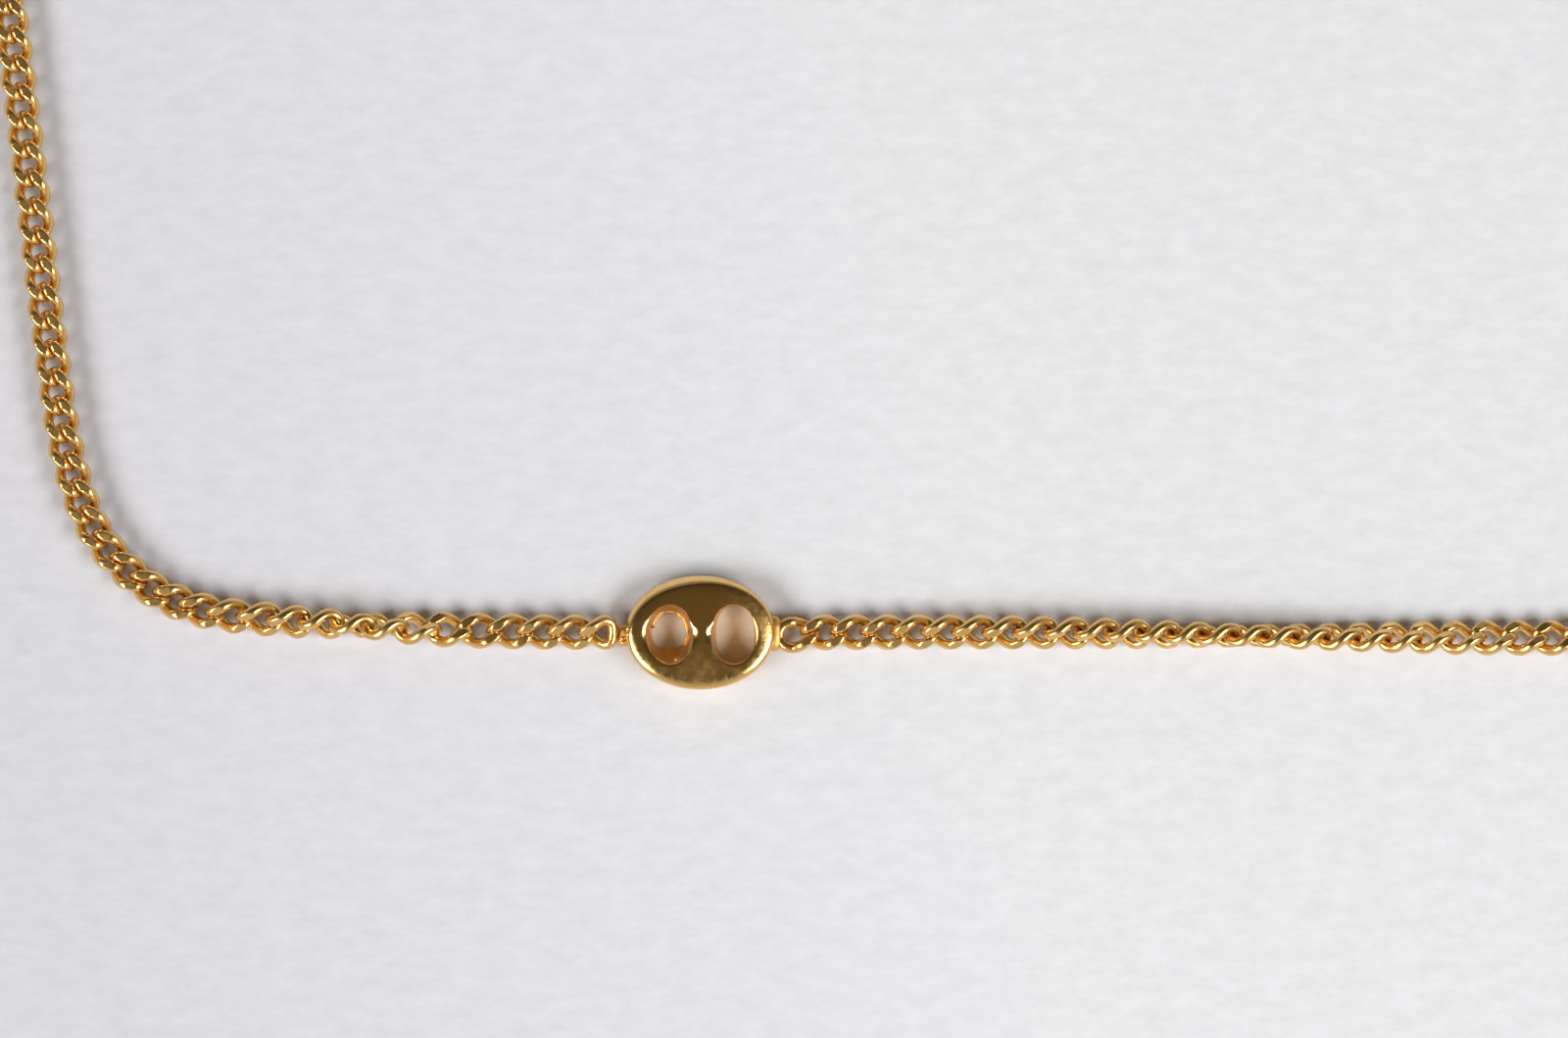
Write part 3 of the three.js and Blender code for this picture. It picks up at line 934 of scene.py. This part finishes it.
# %% Barrel clasp
BARREL_RADIUS = 1
BARREL_STEPS = 32
BARREL_OUTLINE = [
    {"along": -3.0, "radius": 0.001},
    {"along": -3.0, "radius": 0.55},
    {"along": -2.97, "radius": 0.65},
    {"along": -2.5, "radius": 0.97},
    {"along": -2.4, "radius": 1.0},
    {"along": -0.06, "radius": 1.0},
    {"along": 0.0, "radius": 0.95},
]


def barrel_mesh(place, heading):
    """Points and faces of the barrel. The table's outline is one half, and the other half mirrors it."""
    outline = [(row["along"], row["radius"]) for row in BARREL_OUTLINE]
    outline += [(-along, radius) for along, radius in reversed(outline[:-1])]
    turn = Euler((0, 0, heading)).to_matrix()
    points = []
    for along, radius in outline:
        for i in range(BARREL_STEPS):
            angle = 2 * math.pi * i / BARREL_STEPS
            height = BARREL_RADIUS + radius * math.sin(angle)
            point = turn @ Vector((along, radius * math.cos(angle), height))
            points.append((point + Vector((place.x, place.y, 0))) * MM)
    faces = []
    for row in range(len(outline) - 1):
        here = row * BARREL_STEPS
        after = here + BARREL_STEPS
        for i in range(BARREL_STEPS):
            j = (i + 1) % BARREL_STEPS
            faces.append((here + i, here + j, after + j, after + i))
    faces.append(tuple(range(BARREL_STEPS)))
    faces.append(tuple(range(len(points) - BARREL_STEPS, len(points))))
    return points, faces


clasp_place, clasp_heading = route_point(loop, clasp_at)
clasp = mesh_object("barrel_clasp", *barrel_mesh(clasp_place, clasp_heading), chain_gold)
print(clasp.name, len(clasp.data.polygons), "faces")

# %% [markdown]
# Each loop is one more run of the links tree, round and without a twist. It sinks a little into the barrel's
# end, where it would be soldered.

# %% Loops of the clasp
CLASP_LOOP = {"radius": 0.6, "wire": 0.4, "sunk": 0.1}
CLASP_LOOP_SHAPE = {
    "Back": CLASP_LOOP["radius"],
    "Ahead": CLASP_LOOP["radius"],
    "Width": 2 * CLASP_LOOP["radius"] + CLASP_LOOP["wire"],
    "Wire": CLASP_LOOP["wire"],
    "Side Wire": CLASP_LOOP["wire"],
    "Fullness": 2.0,
    "Back Twist": 0.0,
    "Ahead Twist": 0.0,
}


def clasp_loop(side):
    """A flat ring of wire at one end of the barrel."""
    barrel_end = -BARREL_OUTLINE[0]["along"]
    offset = side * (barrel_end + CLASP_LOOP["radius"] - CLASP_LOOP["sunk"])
    middle = clasp_place + Vector((math.cos(clasp_heading), math.sin(clasp_heading))) * offset
    place = (middle.x, middle.y, resting_height(0), math.degrees(clasp_heading), 0)
    return make_links("clasp_loop", [place], **CLASP_LOOP_SHAPE)


join(clasp, [clasp_loop(side) for side in (-1, 1)])
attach(clasp, "root")
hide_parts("clasp")
print(clasp.name, "with its loops:", len(clasp.data.polygons), "faces")

# %% [markdown]
# ## The table, the light and the camera
# The necklace lies on pale paper with short fibres. Noise that is stretched one way makes the fibres. A slow
# change of colour across the sheet is painted shade: the paper is darker towards the left and a little
# towards the bottom.

# %% Paper
PAPER_SIZE = 1.2
PAPER_ROUGHNESS = 0.9
PAINTED_SHADE_SLOPE = {"across": 14, "up": 3, "middle": 0.5}
FIBRE_SIZE = 0.8
FIBRE_STRETCH = (0.5, 1, 1)
FIBRE_NOISE = {"Detail": 5.0, "Roughness": 0.7}
FIBRE_STOPS = [(0.25, (0.87, 0.87, 0.87, 1)), (0.75, (1, 1, 1, 1))]
PAPER_AND_SHADE_STOPS = [(0.0, (0.715, 0.712, 0.762, 1)), (0.7, (0.84, 0.845, 0.875, 1))]


def paper_material():
    """Pale paper with short fibres, and painted shade that darkens it towards the left and the bottom."""
    material = bpy.data.materials.new("paper")
    material.use_nodes = True
    tree = material.node_tree
    tree.nodes.clear()
    place = Signal(tree).add("ShaderNodeTexCoord", out="Object")
    along = place.add("ShaderNodeMapping", {}, {"Vector": place, "Scale": FIBRE_STRETCH})
    fibre_inputs = {"Vector": along, "Scale": 1 / (FIBRE_SIZE * MM), **FIBRE_NOISE}
    fibres = place.add("ShaderNodeTexNoise", {}, fibre_inputs)
    grain = place.add("ShaderNodeValToRGB", {"stops": FIBRE_STOPS}, {"Fac": fibres})
    part = place.add("ShaderNodeSeparateXYZ", {}, {"Vector": place})
    # Painted shade: the paper's colour darkens towards the left and a little towards the bottom, standing in
    # for light that falls off across the sheet.
    slope = part * PAINTED_SHADE_SLOPE["across"] + part.also("Y") * PAINTED_SHADE_SLOPE["up"]
    across = slope + PAINTED_SHADE_SLOPE["middle"]
    painted_shade_tint = place.add("ShaderNodeValToRGB", {"stops": PAPER_AND_SHADE_STOPS}, {"Fac": across})
    mix = {"data_type": "RGBA", "blend_type": "MULTIPLY"}
    colour = place.add("ShaderNodeMix", mix, {"Factor": 1.0, "A": painted_shade_tint, "B": grain}, MIXED_COLOUR)
    shader = place.add("ShaderNodeBsdfPrincipled", {}, {"Base Color": colour, "Roughness": PAPER_ROUGHNESS})
    place.add("ShaderNodeOutputMaterial", {}, {"Surface": shader})
    return material


half = PAPER_SIZE / 2
corners = [Vector((x, y, 0)) for x, y in ((-half, -half), (half, -half), (half, half), (-half, half))]
paper = mesh_object("paper", corners, [(0, 1, 2, 3)], paper_material())
print(paper.name, PAPER_SIZE, "m wide")

# %% [markdown]
# A soft light stands at each side, a little in front, and gives the gold its bright strips. A third one,
# wide and weak, stands low in front and lightens the shadows. The room is pale near the horizon and dark
# above: that is what the top of polished gold shows.

# %% Light
LIGHTS = [
    {"name": "left_light", "azimuth": 205, "elevation": 42, "power": 7.0, "width": 0.68, "height": 0.4},
    {"name": "right_light", "azimuth": 335, "elevation": 44, "power": 6.7, "width": 0.68, "height": 0.4},
    {"name": "front_light", "azimuth": 270, "elevation": 32, "power": 1.5, "width": 1.6, "height": 0.7},
]
LIGHT_DISTANCE = 1.0
ROOM_STOPS = [
    (0.0, (0.44, 0.44, 0.44, 1)),
    (0.35, (0.28, 0.272, 0.255, 1)),
    (0.6, (0.06, 0.052, 0.042, 1)),
    (0.85, (0.05, 0.042, 0.03, 1)),
    (1.0, (0.125, 0.1, 0.058, 1)),
]


def soft_light(name, azimuth, elevation, power, width, height):
    """A soft box that faces the necklace."""
    light = bpy.data.lights.new(name, "AREA")
    light.shape = "RECTANGLE"
    light.size = width
    light.size_y = height
    light.energy = power
    item = bpy.data.objects.new(name, light)
    turn = Euler((math.radians(90 - elevation), 0, math.radians(azimuth + 90)))
    item.rotation_euler = turn
    item.location = turn.to_matrix() @ Vector((0, 0, LIGHT_DISTANCE))
    bpy.context.scene.collection.objects.link(item)


def dark_room():
    """A room that is pale near the horizon and dark above, with a faint warm patch straight overhead."""
    world = bpy.data.worlds.new("room")
    bpy.context.scene.world = world
    world.use_nodes = True
    tree = world.node_tree
    tree.nodes.clear()
    way = Signal(tree).add("ShaderNodeTexCoord", out="Generated")
    up = way.add("ShaderNodeSeparateXYZ", {}, {"Vector": way}).also("Z")
    shade = way.add("ShaderNodeValToRGB", {"stops": ROOM_STOPS}, {"Fac": up})
    room = way.add("ShaderNodeBackground", {}, {"Color": shade, "Strength": 1.0})
    way.add("ShaderNodeOutputWorld", {}, {"Surface": room})


for light in LIGHTS:
    soft_light(**light)
dark_room()
bpy.context.scene.view_settings.view_transform = "Standard"
print(len(LIGHTS), "lights and a dark room")

# %% [markdown]
# The photo was taken from straight above. A long lens that is far away has the same scale all over the
# picture, so the camera's height follows from the width that it sees.

# %% Camera
PIXELS_PER_MM = 20
PHOTO_WIDTH = 1600
PHOTO_MIDDLE = (4.275, 5.775)
LENS = 200
SENSOR = 36
CLIP_START = 0.005

camera = bpy.data.cameras.new("camera")
camera.lens = LENS
camera.sensor_width = SENSOR
camera.clip_start = CLIP_START
viewer = bpy.data.objects.new("camera", camera)
view_width = PHOTO_WIDTH / PIXELS_PER_MM
viewer.location = Vector((*PHOTO_MIDDLE, view_width * LENS / SENSOR)) * MM
bpy.context.scene.collection.objects.link(viewer)
bpy.context.scene.camera = viewer
print("camera", round(viewer.location.z, 4), "m above the table")
